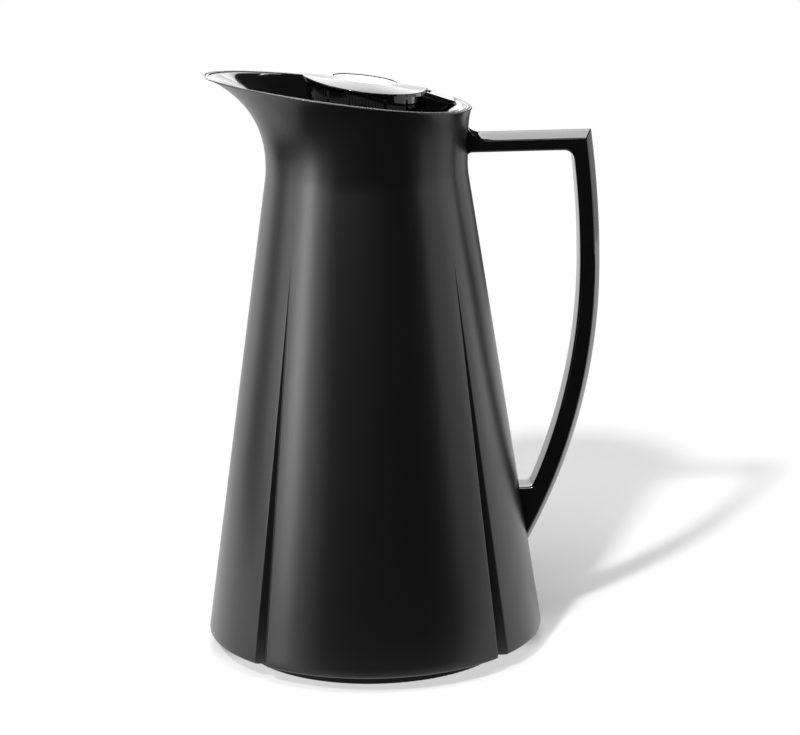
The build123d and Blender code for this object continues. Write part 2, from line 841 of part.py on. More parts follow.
button_bore = button_radius + button_gap
with BuildPart() as lid_cap:
    add(cap_disc.part)
    add(thumb_tab.part)
    add(slanted(cap_height - spigot_depth, cap_height, spigot_outline))
    add(slanted(cap_height - sleeve_depth, cap_height, sleeve_outline))
    add(ring(0, button_bore, cap_height - cap_radius, cap_top + cap_radius), mode=Mode.SUBTRACT)
lid_cap.part.label = "lid_cap"
export_step(lid_cap.part, "parts/lid_cap.step")


# Push button: a slanted head with a skirt, and a boss that holds the stem
def plate_recess_outline():
    Circle(button_radius - plate_inset_width)


def plate_outline():
    Circle(button_radius - plate_inset_width - plate_gap)


stem_hole = stem_radius + stem_fit_gap
plate_low = button_top - plate_thickness
with BuildPart() as push_button:
    with BuildSketch(Plane.XZ):
        with BuildLine():
            Polyline(
                (stem_hole, button_seat_height - button_boss_depth),
                (button_boss_radius, button_seat_height - button_boss_depth),
                (button_boss_radius, button_seat_height),
                (button_radius - button_skirt_wall, button_seat_height),
                (button_radius - button_skirt_wall, button_seat_height - button_skirt_depth),
                (button_radius, button_seat_height - button_skirt_depth),
                (button_radius, button_top + button_radius),
                (0, button_top + button_radius),
                (0, stem_top_height + stem_fit_gap),
                (stem_hole, stem_top_height + stem_fit_gap),
                close=True,
            )
        make_face()
    revolve(axis=Axis.Z)
    split(bisect_by=slant_plane(button_top), keep=Keep.BOTTOM)
    add(slanted(plate_low, button_top + cut_margin, plate_recess_outline), mode=Mode.SUBTRACT)
push_button.part.label = "push_button"
export_step(push_button.part, "parts/push_button.step")

with BuildPart() as button_plate:
    add(slanted(plate_low, button_top, plate_outline))
button_plate.part.label = "button_plate"
export_step(button_plate.part, "parts/button_plate.step")

# Valve: a disc with a soft face on the end of the stem, held by a clip
seal_top = nose_end_height - valve_seal_gap
disc_top = seal_top - valve_seal_thickness
clip_top = disc_top - valve_thickness
stem_bottom = clip_top - clip_thickness - stem_tail_length
with BuildPart() as valve_stem:
    add(ring(0, stem_radius, stem_bottom, stem_top_height))
valve_stem.part.label = "valve_stem"
export_step(valve_stem.part, "parts/valve_stem.step")

with BuildPart() as valve_disc:
    add(ring(stem_hole, valve_radius, clip_top, disc_top))
valve_disc.part.label = "valve_disc"
export_step(valve_disc.part, "parts/valve_disc.step")

with BuildPart() as valve_seal:
    add(ring(valve_radius - valve_seal_width, valve_radius, disc_top, seal_top))
valve_seal.part.label = "valve_seal"
export_step(valve_seal.part, "parts/valve_seal.step")

with BuildPart() as stem_clip:
    add(ring(stem_hole, clip_radius, clip_top - clip_thickness, clip_top))
stem_clip.part.label = "stem_clip"
export_step(stem_clip.part, "parts/stem_clip.step")

# Return spring between the spring deck and the button
coil_low = deck_top + spring_gap + spring_wire_radius
coil_height = button_seat_height - spring_gap - spring_wire_radius - coil_low
with BuildPart() as return_spring:
    with BuildLine(Plane.XY.offset(coil_low)) as coil:
        Helix(pitch=coil_height / spring_turns, height=coil_height, radius=spring_radius)
    with BuildSketch(Plane(origin=coil.line @ 0, z_dir=coil.line % 0)):
        Circle(spring_wire_radius)
    sweep()
return_spring.part.label = "return_spring"
export_step(return_spring.part, "parts/return_spring.step")
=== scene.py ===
# Thermal jug: the finish and the fine shapes of its visible pieces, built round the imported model.
import json
import math

import bmesh
import bpy
import numpy as np
from mathutils import Euler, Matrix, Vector


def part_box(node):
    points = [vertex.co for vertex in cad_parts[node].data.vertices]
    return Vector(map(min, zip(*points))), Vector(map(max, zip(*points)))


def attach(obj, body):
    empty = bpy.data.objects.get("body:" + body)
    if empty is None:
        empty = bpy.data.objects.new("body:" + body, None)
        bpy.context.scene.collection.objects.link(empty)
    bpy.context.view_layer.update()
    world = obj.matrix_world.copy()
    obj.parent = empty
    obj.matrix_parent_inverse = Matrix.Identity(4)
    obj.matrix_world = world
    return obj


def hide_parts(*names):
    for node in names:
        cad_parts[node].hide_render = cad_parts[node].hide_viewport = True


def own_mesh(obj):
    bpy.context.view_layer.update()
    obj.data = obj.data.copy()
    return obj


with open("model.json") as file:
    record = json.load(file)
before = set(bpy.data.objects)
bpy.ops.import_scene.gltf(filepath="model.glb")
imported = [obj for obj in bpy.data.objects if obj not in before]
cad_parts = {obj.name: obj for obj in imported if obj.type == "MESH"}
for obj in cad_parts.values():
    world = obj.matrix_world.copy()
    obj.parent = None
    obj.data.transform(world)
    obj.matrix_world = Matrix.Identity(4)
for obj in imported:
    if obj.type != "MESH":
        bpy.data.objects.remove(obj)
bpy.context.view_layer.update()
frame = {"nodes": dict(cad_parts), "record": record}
nodes = frame["nodes"]
mm = 0.001
weld = 0.001 * mm
quarterTurn = math.pi / 2
print("frame loaded:", len(nodes), "CAD nodes")


# Shader maths: a socket that can be used in sums, and one method for any other node
class Wire:
    def __init__(self, tree, socket=None):
        self.tree = tree
        self.socket = socket

    def node(self, kind, settings=None, inputs=None, output=0):
        made = self.tree.nodes.new(kind)
        for name, value in (settings or {}).items():
            if name == "stops":
                for stop, (place, grey) in zip(made.color_ramp.elements, value):
                    stop.position = place
                    stop.color = (grey, grey, grey, 1.0)
            else:
                setattr(made, name, value)
        for name, value in (inputs or {}).items():
            if isinstance(value, Wire):
                self.tree.links.new(value.socket, made.inputs[name])
            else:
                made.inputs[name].default_value = value
        return Wire(self.tree, made.outputs[output] if made.outputs else None)

    # Another output of the node that made this one
    def other(self, output):
        return Wire(self.tree, self.socket.node.outputs[output])

    def maths(self, operation, first, second=0.0):
        return self.node("ShaderNodeMath", {"operation": operation}, {0: first, 1: second})

    def __add__(self, other):
        return self.maths("ADD", self, other)

    def __radd__(self, other):
        return self.maths("ADD", other, self)

    def __sub__(self, other):
        return self.maths("SUBTRACT", self, other)

    def __rsub__(self, other):
        return self.maths("SUBTRACT", other, self)

    def __mul__(self, other):
        return self.maths("MULTIPLY", self, other)

    def __rmul__(self, other):
        return self.maths("MULTIPLY", other, self)

    def __truediv__(self, other):
        return self.maths("DIVIDE", self, other)

    def __rtruediv__(self, other):
        return self.maths("DIVIDE", other, self)


# A material from its look: plain constants, and what a painting function feeds from the place
def makeMaterial(name, look, paint):
    material = bpy.data.materials.new(name)
    material.use_nodes = True
    tree = material.node_tree
    shader = tree.nodes["Principled BSDF"]
    for socket, value in look["constants"].items():
        shader.inputs[socket].default_value = value
    place = Wire(tree).node("ShaderNodeTexCoord", output="Object")
    for socket, wire in paint(place, look).items():
        tree.links.new(wire.socket, shader.inputs[socket])
    return material


# A noise pattern is written as its scale, its detail and, where it is drawn out, its stretch
def noise(place, scale, detail, stretch=(1.0, 1.0, 1.0)):
    scaled = place.node("ShaderNodeMapping", None, {"Vector": place, "Scale": stretch})
    return place.node("ShaderNodeTexNoise", None, {
        "Vector": scaled, "Scale": scale, "Detail": detail})


# A pattern's swing to either side of its middle
def swing(pattern, amount):
    return (pattern - 0.5) * amount


def ramp(pattern, low, high):
    stops = ((low, 0.0), (high, 1.0))
    return pattern.node("ShaderNodeValToRGB", {"stops": stops}, {"Fac": pattern})


def bump(height, strength, distance):
    return height.node("ShaderNodeBump", None, {
        "Height": height, "Strength": strength, "Distance": distance})


def mixColours(factor, first, second):
    return factor.node("ShaderNodeMix", {"data_type": "RGBA", "blend_type": "MIX"}, {
        0: factor, 6: (*first, 1.0), 7: (*second, 1.0)}, 2)


# Satin black shell: fine moulded grain, and a roughness that drifts where hands have been
satinBlack = {
    "constants": {"IOR": 1.5}, "colour": (0.0015, 0.0015, 0.0015), "worn": (0.0025, 0.0025, 0.0025),
    "roughness": 0.3, "drift": 0.05, "grit": 0.02, "smudge": (22.0, 4.0, (1.0, 1.0, 0.35)),
    "grain": (2600.0, 2.0), "relief": (0.12, 0.00002)}


def paintSatinBlack(place, look):
    smudge = noise(place, *look["smudge"])
    grain = noise(place, *look["grain"])
    drift = swing(smudge, look["drift"])
    return {"Roughness": look["roughness"] + drift + swing(grain, look["grit"]),
            "Base Color": mixColours(smudge, look["colour"], look["worn"]),
            "Normal": bump(grain, *look["relief"])}


# Gloss black plastic: the faint ripple of a moulded surface, and hairline marks
glossBlack = {
    "constants": {"IOR": 1.5}, "colour": (0.0015, 0.0015, 0.0015), "dust": (0.003, 0.003, 0.003),
    "roughness": 0.055, "drift": 0.02, "scratched": 0.05, "ripple": (120.0, 1.5),
    "hair": (900.0, 3.0, (1.0, 0.06, 1.0)), "hairFrom": (0.52, 0.72), "relief": (0.1, 0.00004)}


def paintGlossBlack(place, look):
    ripple = noise(place, *look["ripple"])
    hair = noise(place, *look["hair"])
    streak = ramp(hair, *look["hairFrom"])
    worn = look["roughness"] + streak * look["scratched"]
    return {"Roughness": worn + swing(ripple, look["drift"]),
            "Base Color": mixColours(ripple, look["colour"], look["dust"]),
            "Normal": bump(ripple, *look["relief"])}


# Matt black plastic of the foot, rubbed in places
baseBlack = {
    "constants": {"IOR": 1.48, "Specular IOR Level": 0.2}, "colour": (0.004, 0.004, 0.004),
    "scuffed": (0.009, 0.009, 0.009), "roughness": 0.55, "drift": 0.1, "grain": (1500.0, 3.0),
    "scuff": (75.0, 5.0), "scuffFrom": (0.55, 0.75), "relief": (0.3, 0.00004)}


def paintBaseBlack(place, look):
    grain = noise(place, *look["grain"])
    scuff = noise(place, *look["scuff"])
    rubbed = ramp(scuff, *look["scuffFrom"])
    return {"Roughness": look["roughness"] + swing(grain, look["drift"]),
            "Base Color": mixColours(rubbed, look["colour"], look["scuffed"]),
            "Normal": bump(grain, *look["relief"])}


# Polished steel of the button plate, with the rings of its polishing
polishedSteel = {
    "constants": {"Metallic": 1.0}, "colour": (0.74, 0.74, 0.75), "ringColour": (0.8, 0.8, 0.81),
    "roughness": 0.1, "ringDrift": 0.06, "drift": 0.02, "ringScale": 3000.0, "cloud": (1.0, 2.0)}


def paintPolishedSteel(place, look):
    east = place.node("ShaderNodeSeparateXYZ", None, {0: place})
    north = east.other("Y")
    squares = east * east + north * north
    reach = squares.maths("SQRT", squares)
    cloud = noise(place, *look["cloud"])
    ring = place.node("ShaderNodeTexNoise", {"noise_dimensions": "1D"}, {
        "W": reach, "Scale": look["ringScale"]})
    ringed = look["roughness"] + swing(ring, look["ringDrift"])
    return {"Roughness": ringed + swing(cloud, look["drift"]),
            "Base Color": mixColours(ring, look["colour"], look["ringColour"])}


# Plain steel of the screws, the stem and the spring, drawn along its length
plainSteel = {
    "constants": {"Metallic": 1.0}, "colour": (0.45, 0.45, 0.46), "bright": (0.62, 0.62, 0.63),
    "roughness": 0.28, "drift": 0.15, "drawn": (1800.0, 2.0, (1.0, 1.0, 0.05))}


def paintPlainSteel(place, look):
    drawn = noise(place, *look["drawn"])
    return {"Roughness": look["roughness"] + swing(drawn, look["drift"]),
            "Base Color": mixColours(drawn, look["colour"], look["bright"])}


# Silvered glass of the flask
silveredGlass = {
    "constants": {"Metallic": 0.92, "Coat IOR": 1.5}, "colour": (0.78, 0.80, 0.83),
    "thin": (0.62, 0.66, 0.72), "roughness": 0.03, "clouded": 0.03, "cloud": (60.0, 3.0)}


def paintSilveredGlass(place, look):
    cloud = noise(place, *look["cloud"])
    return {"Roughness": look["roughness"] + cloud * look["clouded"],
            "Base Color": mixColours(cloud, look["colour"], look["thin"])}


# Milky silicone of the seals
milkySilicone = {
    "constants": {"IOR": 1.41, "Subsurface Weight": 0.25, "Subsurface Scale": 0.002},
    "colour": (0.62, 0.62, 0.58), "deep": (0.5, 0.5, 0.47), "roughness": 0.42, "drift": 0.15,
    "bloom": (300.0, 3.0), "relief": (0.1, 0.00005)}


def paintMilkySilicone(place, look):
    bloom = noise(place, *look["bloom"])
    return {"Roughness": look["roughness"] + swing(bloom, look["drift"]),
            "Base Color": mixColours(bloom, look["colour"], look["deep"]),
            "Normal": bump(bloom, *look["relief"])}


# Black rubber of the foot ring and the flask's cushion
blackRubber = {
    "constants": {"IOR": 1.5, "Specular IOR Level": 0.2}, "colour": (0.006, 0.006, 0.006),
    "dusty": (0.014, 0.014, 0.013), "roughness": 0.78, "drift": 0.2, "pore": (1900.0, 4.0),
    "dust": (1900.0 / 30, 4.0), "relief": (0.5, 0.00006)}


def paintBlackRubber(place, look):
    pore = noise(place, *look["pore"])
    dust = noise(place, *look["dust"])
    return {"Roughness": look["roughness"] + swing(pore, look["drift"]),
            "Base Color": mixColours(dust, look["colour"], look["dusty"]),
            "Normal": bump(pore, *look["relief"])}


# Pressed fibre of the pads between the flask's walls
pressedFelt = {
    "constants": {"Sheen Weight": 0.3}, "colour": (0.42, 0.40, 0.36), "fleck": (0.28, 0.26, 0.23),
    "roughness": 0.95, "matted": 0.05, "fibre": (2200.0, 5.0, (1.0, 1.0, 0.4)),
    "relief": (0.8, 0.0001)}


def paintPressedFelt(place, look):
    fibre = noise(place, *look["fibre"])
    return {"Roughness": look["roughness"] - fibre * look["matted"],
            "Base Color": mixColours(fibre, look["colour"], look["fleck"]),
            "Normal": bump(fibre, *look["relief"])}


finishes = {
    "shell_satin_black": makeMaterial("satinBlackPlastic", satinBlack, paintSatinBlack),
    "gloss_black": makeMaterial("glossBlackPlastic", glossBlack, paintGlossBlack),
    "base_black": makeMaterial("baseBlackPlastic", baseBlack, paintBaseBlack),
    "polished_steel": makeMaterial("polishedSteel", polishedSteel, paintPolishedSteel),
    "steel": makeMaterial("plainSteel", plainSteel, paintPlainSteel),
    "silvered_glass": makeMaterial("silveredGlass", silveredGlass, paintSilveredGlass),
    "clear_silicone": makeMaterial("milkySilicone", milkySilicone, paintMilkySilicone),
    "black_rubber": makeMaterial("blackRubber", blackRubber, paintBlackRubber),
    "felt": makeMaterial("pressedFelt", pressedFelt, paintPressedFelt),
}
slotOf = {part["node"]: part["material_slot"] for part in frame["record"]["subparts"]}
for name, node in nodes.items():
    node.material_slots[0].material = finishes[slotOf[name]]
print("finishes made:", len(finishes))


def addObject(name, data):
    made = bpy.data.objects.new(name, data)
    bpy.context.scene.collection.objects.link(made)
    return made


# Smooth faces, with a sharp edge where two meet at more than the angle
def shade(mesh, sharpDegrees):
    mesh.polygons.foreach_set("use_smooth", [True] * len(mesh.polygons))
    mesh.set_sharp_from_angle(angle=math.radians(sharpDegrees))


# A mesh from rows of points; each row runs once round the piece
def wrapRows(name, rows, closeRows=False, sharpDegrees=40.0, flip=False):
    count = len(rows[0])
    faces = []
    for low in range(len(rows) if closeRows else len(rows) - 1):
        first = low * count
        second = (low + 1) % len(rows) * count
        for left in range(count):
            right = (left + 1) % count
            quad = (first + left, first + right, second + right, second + left)
            faces.append(quad[::-1] if flip else quad)
    mesh = bpy.data.meshes.new(name)
    mesh.from_pydata(np.concatenate(rows).tolist(), [], faces)
    mesh.update()
    shade(mesh, sharpDegrees)
    return addObject(name, mesh)


# Merges the points that meet at a pole, and turns the faces outwards
def tidyMesh(piece):
    work = bmesh.new()
    work.from_mesh(piece.data)
    bmesh.ops.remove_doubles(work, verts=work.verts, dist=weld)
    bmesh.ops.recalc_face_normals(work, faces=work.faces)
    work.to_mesh(piece.data)
    work.free()


# Gives a piece the material of its slot and its body, and hides the CAD nodes that it replaces
def dress(piece, slot, bodyName, *replaced):
    if not piece.data.materials:
        piece.data.materials.append(finishes[slot])
    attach(piece, bodyName)
    if replaced:
        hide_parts(*replaced)
    print("piece:", piece.name, len(piece.data.polygons), "faces")


# The body's form, in the frame's own sizes: a cone, a waist and a flare that opens into the spout
collarLow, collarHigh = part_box("pouring_collar")
shellLow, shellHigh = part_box("outer_shell")
body = {
    "foot": shellLow.z,
    "footRadius": shellHigh.y,
    "waist": 236.0 * mm,
    "waistRadius": 48.4 * mm,
    "waistBlend": 45.0 * mm,
    "flare": 241.0 * mm,
    "tip": shellHigh.z,
    "lip": 1.3 * mm,
    "seam": 0.15 * mm,
    "wall": 2.5 * mm,
    "spoutPull": 28.8 * mm,
    "rearPull": 21.0 * mm,
    "rearRise": 25.1 * mm,
}
body["spout"] = body["lip"] + body["seam"] - collarLow.x
body["rear"] = body["lip"] + body["seam"] + collarHigh.x
body["taper"] = (body["footRadius"] - body["waistRadius"]) / (body["waist"] - body["foot"])
body["rearHeight"] = body["flare"] + body["rearRise"]
body["slope"] = (body["tip"] - body["rearHeight"]) / (body["spout"] + body["rear"])


def coneRadius(height):
    return body["footRadius"] - body["taper"] * (height - body["foot"])


def profileRadius(height):
    turn = math.atan(body["taper"])
    blend = body["waistBlend"]
    blendTop = body["waist"] + blend * math.tan(turn / 2)
    if height >= blendTop:
        return body["waistRadius"]
    if height <= blendTop - blend * math.sin(turn):
        return coneRadius(height)
    return body["waistRadius"] + blend - math.sqrt(blend**2 - (blendTop - height) ** 2)


def rimHeight(x):
    return body["rearHeight"] + body["slope"] * (body["rear"] - x)


def bezier(start, pull, end, step):
    return start * (1 - step) ** 2 + 2 * pull * step * (1 - step) + end * step**2


def levelRow(angles, radius, height):
    flat = np.full(len(angles), height)
    return np.stack([radius * np.cos(angles), radius * np.sin(angles), flat], axis=1)


# One egg-shaped row: a half ellipse towards the spout and one towards the handle, on a tilted plane
def eggRow(angles, front, side, rear, frontHeight, rearHeight):
    across = np.where(np.cos(angles) > 0, rear, front) * np.cos(angles)
    along = side * np.sin(angles)
    fall = (frontHeight - rearHeight) / (front + rear)
    return np.stack([across, along, rearHeight + fall * (rear - across)], axis=1)


# A row of the flare, a step of the way from a level circle to the rim
def flareRow(angles, step, height, radius, inset, lift=0.0, lean=0.0):
    frontEnd = body["spout"] - inset
    rearEnd = body["rear"] - inset
    front = bezier(radius, radius + lean, frontEnd, step)
    side = bezier(radius, radius + lean, rearEnd, step)
    start = body["flare"] + lift
    frontHeight = bezier(height, start + body["spoutPull"], rimHeight(-frontEnd), step)
    rearHeight = bezier(height, start + body["rearPull"], rimHeight(rearEnd), step)
    return eggRow(angles, front, side, side, frontHeight, rearHeight)


def lipRow(angles, inset, drop):
    front = body["spout"] - inset
    rear = body["rear"] - inset
    row = eggRow(angles, front, rear, rear, rimHeight(-front), rimHeight(rear))
    row[:, 2] -= drop
    return row


# The rounded top of a lip, over its outer edge and down its inner one
def lipRows(angles, outer, inner, rim, count):
    turns = np.linspace(0, quarterTurn, count)
    rise = [(rim * (1 - math.cos(turn)), rim * (1 - math.sin(turn))) for turn in turns]
    rows = [lipRow(angles, outer + inset, drop) for inset, drop in rise]
    return rows + [lipRow(angles, inner - inset, drop) for inset, drop in rise[::-1]]


# Outer shell with its four grooves, rounded lip and thin wall
shell = {
    "grooveTop": 200.0 * mm, "grooveDepth": 3.75 * mm, "grooveAngles": (45, 135, 225, 315),
    "edgeSoftness": 0.3 * mm, "rootSoftness": 0.25 * mm, "softBelow": 1.0 * mm,
    "columnWidth": 0.4 * mm, "columnSpread": 0.3, "widestSine": 0.7, "footEdge": 1.5 * mm,
    "lipRound": 0.45 * mm, "waistLead": 4.0 * mm, "flareEnd": 0.985, "innerFlareStart": 0.94,
    "innerLift": 1.7 * mm, "coneRows": 64, "neckRows": 12, "waistRows": 20, "flareRows": 44,
    "innerFlareRows": 14, "innerConeRows": 40, "panelColumns": 30, "roundRows": 6}
grooveSteps = np.array([0.0, 0.06, 0.15, 0.35, 0.6, 0.8, 0.9, 0.96, 1.02, 1.1, 1.22, 1.45])


def grooveDepthAt(height):
    length = shell["grooveTop"] - body["foot"]
    topRadius = coneRadius(shell["grooveTop"])
    rootRadius = body["footRadius"] - shell["grooveDepth"]
    root = topRadius + (rootRadius - topRadius) * (shell["grooveTop"] - height) / length
    return coneRadius(height) - root


# Columns crowd round the grooves and follow them as they widen towards the foot
def columnAngles(height):
    radius = profileRadius(min(height, body["waist"]))
    spread = max(0.0, height - shell["grooveTop"]) * shell["columnSpread"]
    width = max(grooveDepthAt(height), shell["columnWidth"]) + spread
    half = np.arcsin(np.clip(grooveSteps * width / radius, 0, shell["widestSine"]))
    fill = np.linspace(half[-1], quarterTurn - half[-1], shell["panelColumns"])[1:-1]
    one = np.concatenate([half, fill, quarterTurn - half[::-1][:-1]])
    return np.concatenate([one + math.radians(angle) for angle in shell["grooveAngles"]])


def coneRow(height, inset=0.0):
    angles = columnAngles(height)
    radius = profileRadius(height)
    depth = grooveDepthAt(height)
    near = angles % quarterTurn - quarterTurn / 2
    side = radius * np.sin(near)
    surface = radius * np.cos(near)
    if depth > 0:
        fade = min(1.0, depth / shell["softBelow"])
        root = shell["rootSoftness"] * fade
        edge = shell["edgeSoftness"] * fade
        flank = radius - depth + np.sqrt(side**2 + root**2)
        surface = (surface + flank - np.sqrt((surface - flank) ** 2 + edge**2)) / 2
    turned = angles - near + np.arctan2(side, surface)
    return levelRow(turned, np.hypot(surface, side) - inset, height)


def makeShell():
    foot, edge = body["foot"], shell["footEdge"]
    rows = []
    for turn in np.linspace(quarterTurn, 0, shell["roundRows"]):
        rows.append(coneRow(foot + edge * (1 - math.sin(turn)), edge * (1 - math.cos(turn))))
    waistStart = body["waist"] - shell["waistLead"]
    stretches = ((foot + edge, shell["grooveTop"], shell["coneRows"]),
                 (shell["grooveTop"], waistStart, shell["neckRows"]),
                 (waistStart, body["flare"], shell["waistRows"]))
    for low, high, count in stretches:
        rows += [coneRow(height) for height in np.linspace(low, high, count)[1:]]
    angles = columnAngles(body["flare"])
    for step in np.linspace(0, shell["flareEnd"], shell["flareRows"])[1:]:
        rows.append(flareRow(angles, step, body["flare"], body["waistRadius"], 0.0))
    rows += lipRows(angles, 0.0, body["lip"], shell["lipRound"], shell["roundRows"])
    innerRadius = body["waistRadius"] - body["wall"]
    for step in np.linspace(shell["innerFlareStart"], 0, shell["innerFlareRows"]):
        inset = body["lip"] + (body["wall"] - body["lip"]) * (1 - step)
        rows.append(flareRow(angles, step, body["flare"], innerRadius, inset, shell["innerLift"]))
    for height in np.linspace(body["flare"], foot, shell["innerConeRows"])[1:]:
        rows.append(coneRow(height, body["wall"]))
    piece = wrapRows("shellSkin", rows, closeRows=True, sharpDegrees=50)
    dress(piece, "shell_satin_black", "jug", "outer_shell")


makeShell()


# Pouring collar: the gloss bowl inside the rim, its floor, and the bore that holds the stopper
collar = {
    "lip": 1.2 * mm, "lipRound": 0.45 * mm, "deck": 250.0 * mm, "deckThickness": 2.5 * mm,
    "radius": 41.5 * mm, "wall": 2.0 * mm, "bore": 25.0 * mm, "boreWall": 3.0 * mm,
    "boreRound": 0.8 * mm, "seat": 20.5 * mm, "seatTop": 235.0 * mm, "boreFoot": 233.0 * mm,
    "fillet": 3.0 * mm, "filletPull": 0.5 * mm, "deckRings": (33.0 * mm, 28.0 * mm),
    "outerBend": (2.4 * mm, 3.0 * mm), "bowlBend": (3.4 * mm, 4.0 * mm), "outerEnd": 0.96,
    "bowlSteps": (0.965, 0.16), "columns": 256, "outerRows": 12, "bowlRows": 48,
    "filletRows": 8, "boreRoundRows": 5, "roundRows": 6}


def makeCollar():
    angles = np.linspace(0, 2 * math.pi, collar["columns"], endpoint=False)
    outer = body["lip"] + body["seam"]
    inner = outer + collar["lip"]
    floor = collar["deck"]
    under = floor - collar["deckThickness"]
    bowl = collar["radius"] - collar["wall"]
    rows = []
    for step in np.linspace(0, collar["outerEnd"], collar["outerRows"]):
        rows.append(flareRow(angles, step, under, collar["radius"], outer, *collar["outerBend"]))
    rows += lipRows(angles, outer, inner, collar["lipRound"], collar["roundRows"])
    for step in np.linspace(*collar["bowlSteps"], collar["bowlRows"]):
        rows.append(flareRow(angles, step, floor, bowl, inner, *collar["bowlBend"]))
    start = rows[-1]
    corner = levelRow(angles, bowl + collar["filletPull"], floor)
    inward = levelRow(angles, bowl - collar["fillet"], floor)
    for step in np.linspace(0, 1, collar["filletRows"])[1:]:
        rows.append(bezier(start, corner, inward, step))
    bore, edge = collar["bore"], collar["boreRound"]
    line = [(radius, floor) for radius in (*collar["deckRings"], bore + edge)]
    for turn in np.linspace(0, quarterTurn, collar["boreRoundRows"])[1:]:
        line.append((bore + edge * (1 - math.sin(turn)), floor - edge * (1 - math.cos(turn))))
    line += [(bore, collar["seatTop"]), (collar["seat"], collar["seatTop"]),
             (collar["seat"], collar["boreFoot"]), (bore + collar["boreWall"], collar["boreFoot"]),
             (bore + collar["boreWall"], under)]
    rows += [levelRow(angles, radius, height) for radius, height in line]
    piece = wrapRows("collarBowl", rows, closeRows=True, sharpDegrees=35)
    dress(piece, "gloss_black", "jug", "pouring_collar")


makeCollar()


# Handle: a flat-sided bar with two facets along its outer side and a mitred corner at the top
handleTop = body["flare"] + 12.7 * mm
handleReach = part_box("handle")[1].x
handle = {
    "top": handleTop, "barDepth": 9.1 * mm, "width": 16.0 * mm, "reach": handleReach,
    "reachHeight": handleTop - 66.0 * mm, "upperRadius": 520.0 * mm, "end": 46.0 * mm,
    "endInset": 2.1 * mm, "gripReach": handleReach - 10.4 * mm,
    "gripHeight": handleTop - 62.0 * mm, "gripRadius": 440.0 * mm, "notch": 78.0 * mm,
    "ledge": 6.1 * mm, "facet": 3.8 * mm, "cornerRadius": 5.0 * mm, "notchRadius": 3.0 * mm,
    "upperFlare": 7.0 * mm, "lowerFlare": 3.0 * mm, "ridgeSoftness": 0.5 * mm,
    "ridgeShare": 0.12, "edgeRadius": 1.5 * mm, "mitreRadius": 0.7 * mm, "sideRound": 0.5 * mm,
    "rootInset": 1.2 * mm, "rootPoints": 12, "barPoints": 16, "bendPoints": 6,
    "upperPoints": 30, "outerLowerPoints": 50, "innerLowerPoints": 37, "notchPoints": 7,
    "ledgePoints": 8, "facetPoints": 7, "ridgePoints": 9, "sidePoints": 5, "edgePoints": 7,
    "gripPoints": 6}


# The radius of an arc that leaves its start straight down and reaches its end
def uprightArcRadius(start, end):
    return ((start[0] - end[0]) ** 2 + (start[1] - end[1]) ** 2) / (2 * (start[0] - end[0]))


def arcPoints(centre, radius, startAngle, endAngle, count):
    turns = np.linspace(startAngle, endAngle, count)
    across = centre[0] + radius * np.cos(turns)
    return np.stack([across, centre[1] + radius * np.sin(turns)], axis=1)


def linePoints(start, end, level, count):
    return np.stack([np.linspace(start, end, count), np.full(count, level)], axis=1)


# The handle's outer side, from its upper root round to its lower end; the inner side follows
def outerOutline(offset):
    root = body["waistRadius"] - handle["rootInset"]
    top = handle["top"] - offset
    reach, height = handle["reach"], handle["reachHeight"]
    big = handle["upperRadius"] - offset
    centre = (reach - handle["upperRadius"], height)
    cornerAngle = math.asin((top - height) / big)
    lowEnd = (coneRadius(handle["end"]) - handle["endInset"], handle["end"])
    small = uprightArcRadius((reach, height), lowEnd)
    lowAngle = -math.asin((height - handle["end"]) / small)
    flare = handle["upperFlare"] + offset
    rootCurve = arcPoints((root + flare, top + flare), flare, math.pi, 3 * quarterTurn,
                          handle["rootPoints"])
    corner = np.array([centre[0] + big * math.cos(cornerAngle), top])
    mitre = handle["mitreRadius"]
    bar = linePoints(root + flare, corner[0] - mitre, top, handle["barPoints"])[1:]
    bendAngle = cornerAngle - mitre / big
    upper = arcPoints(centre, big, bendAngle, 0, handle["upperPoints"])
    steps = np.linspace(0, 1, handle["bendPoints"])[1:-1]
    bend = [bezier(bar[-1], corner, upper[0], step) for step in steps]
    lower = arcPoints((reach - small, height), small - offset, 0, lowAngle,
                      handle["outerLowerPoints"])[1:]
    return np.concatenate([rootCurve, bar, bend, upper, lower])


